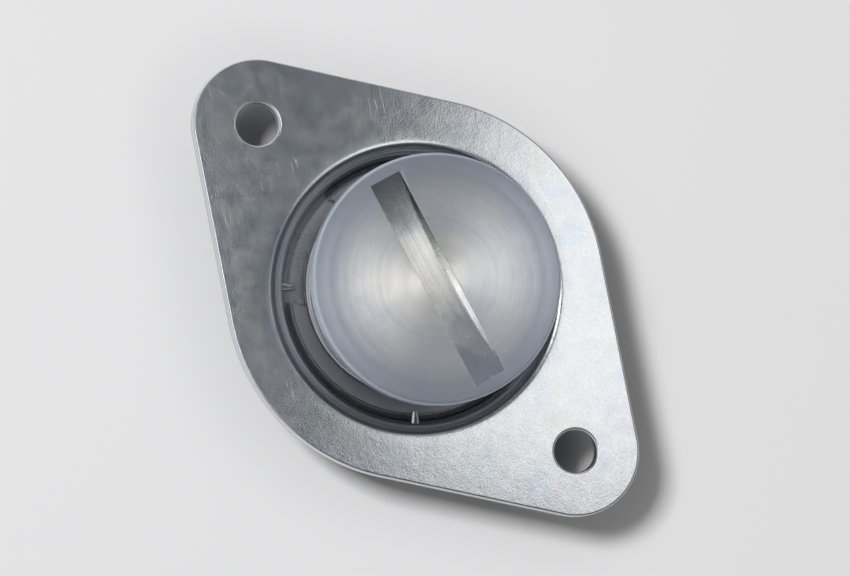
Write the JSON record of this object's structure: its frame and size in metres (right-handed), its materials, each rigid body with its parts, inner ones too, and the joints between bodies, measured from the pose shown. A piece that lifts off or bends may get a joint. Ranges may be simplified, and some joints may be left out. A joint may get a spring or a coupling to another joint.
{
  "type": "quarter turn panel fastener",
  "caption": "Spring-loaded quarter turn panel fastener: slotted large-head stud with a helical cam tip, popped up by a conical spring in a dished plate for two rivets.",
  "frame": {"origin": "on the stud's axis, at the rim of the plate's neck, which is the lowest point with the stud popped up", "axes": "+Z out of the panel along the stud's axis, towards the slotted head; X along the line of the two rivet holes; Y across the plate"},
  "size_m": [0.045, 0.0294, 0.0148],
  "materials": {
    "plate_zinc": "bright zinc plate on pressed steel",
    "washer_zinc": "zinc plate on stamped steel",
    "spring_steel": "zinc plated spring wire",
    "stud_zinc": "bright zinc plate on turned steel"
  },
  "bodies": {
    "plate": {"mounting_plate": "plate_zinc", "retaining_washer": "washer_zinc"},
    "ejector": {"ejector_spring": "spring_steel"},
    "stud": {"stud": "stud_zinc"}
  },
  "joints": [
    {"name": "stud_press", "type": "slide", "parent": "plate", "child": "ejector", "axis": [0, 0, 1], "range_m": [-0.0068, 0], "stiffness_N_per_m": 500, "springref_m": 0.006, "deforming": ["ejector_spring"]},
    {"name": "stud_turn", "type": "hinge", "parent": "ejector", "child": "stud", "pos_m": [0, 0, 0], "axis": [0, 0, 1], "continuous": true}
  ]
}
